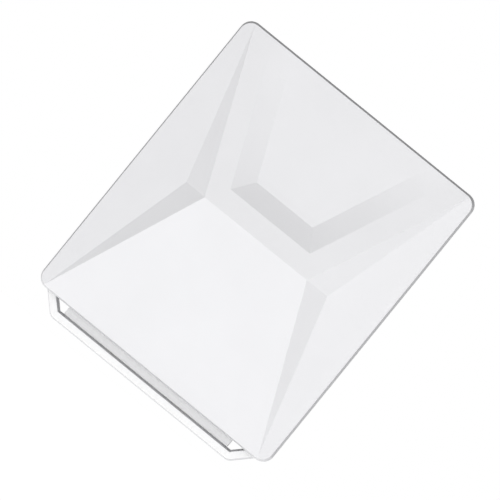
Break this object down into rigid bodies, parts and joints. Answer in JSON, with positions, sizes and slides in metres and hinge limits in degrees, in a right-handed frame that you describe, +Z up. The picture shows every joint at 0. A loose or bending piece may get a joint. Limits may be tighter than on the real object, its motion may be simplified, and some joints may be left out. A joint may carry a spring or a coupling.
{
  "type": "panel antenna",
  "caption": "Enclosed directional panel antenna with a faceted white radome, a guard loop over its downward connectors and a tilting pole clamp.",
  "frame": {"origin": "on the axis of the pole, at the middle of the clamp's height", "axes": "+Z up along the pole, -Y the way the antenna faces, +X to the right seen from the front"},
  "size_m": [0.3, 0.2541, 0.3635],
  "materials": {
    "radome_asa": "fine moulded texture, white UV-stable ASA",
    "guard_asa": "white moulded ASA",
    "gasket_rubber": "black EPDM",
    "cast_housing": "light grey powder coat on cast aluminium",
    "sheet_aluminium": "light grey anodised sheet",
    "laminate": "green solder mask on glass epoxy",
    "patch_copper": "tinned copper",
    "ptfe": "turned PTFE",
    "nickel": "nickel plated brass",
    "contact_gold": "gold plated bronze",
    "stainless": "A2 stainless steel",
    "zinc_steel": "hot-dip galvanised steel",
    "cast_clamp": "sand-blasted cast aluminium",
    "vent_plastic": "black moulded nylon"
  },
  "bodies": {
    "pole_mount": {"pole_bracket": "cast_clamp", "pivot_bolts": "stainless", "pivot_washers": "stainless", "pivot_nuts": "stainless", "lock_bolts": "stainless", "lock_washers": "stainless", "lock_nuts": "stainless", "clamp_bolts": "stainless"},
    "clamp": {"clamp_jaw": "cast_clamp", "clamp_washers": "stainless", "clamp_nuts": "stainless"},
    "panel": {"radome": "radome_asa", "radome_gasket": "gasket_rubber", "rear_housing": "cast_housing", "housing_screws": "stainless", "reflector_plate": "sheet_aluminium", "reflector_screws": "stainless", "feed_board": "laminate", "board_standoffs": "nickel", "board_screws": "stainless", "driven_patches": "patch_copper", "director_patches": "patch_copper", "lower_patch_spacers": "ptfe", "upper_patch_spacers": "ptfe", "patch_screws": "stainless", "feed_probes": "patch_copper", "connector_shroud": "sheet_aluminium", "connector_seals": "gasket_rubber", "connector_bodies": "nickel", "connector_insulators": "ptfe", "connector_contacts": "contact_gold", "connector_nuts": "nickel", "lower_guard": "guard_asa", "guard_screws": "stainless", "vent_plug": "vent_plastic", "ground_washer": "stainless", "ground_screw": "stainless", "tilt_bracket": "zinc_steel", "bracket_screws": "stainless"}
  },
  "joints": [
    {"name": "tilt", "type": "hinge", "parent": "pole_mount", "child": "panel", "pos_m": [0, -0.068, 0.018], "axis": [1, 0, 0], "range_deg": [-20, 20]},
    {"name": "jaw_slide", "type": "slide", "parent": "pole_mount", "child": "clamp", "axis": [0, 1, 0], "range_m": [0, 0.02]}
  ]
}
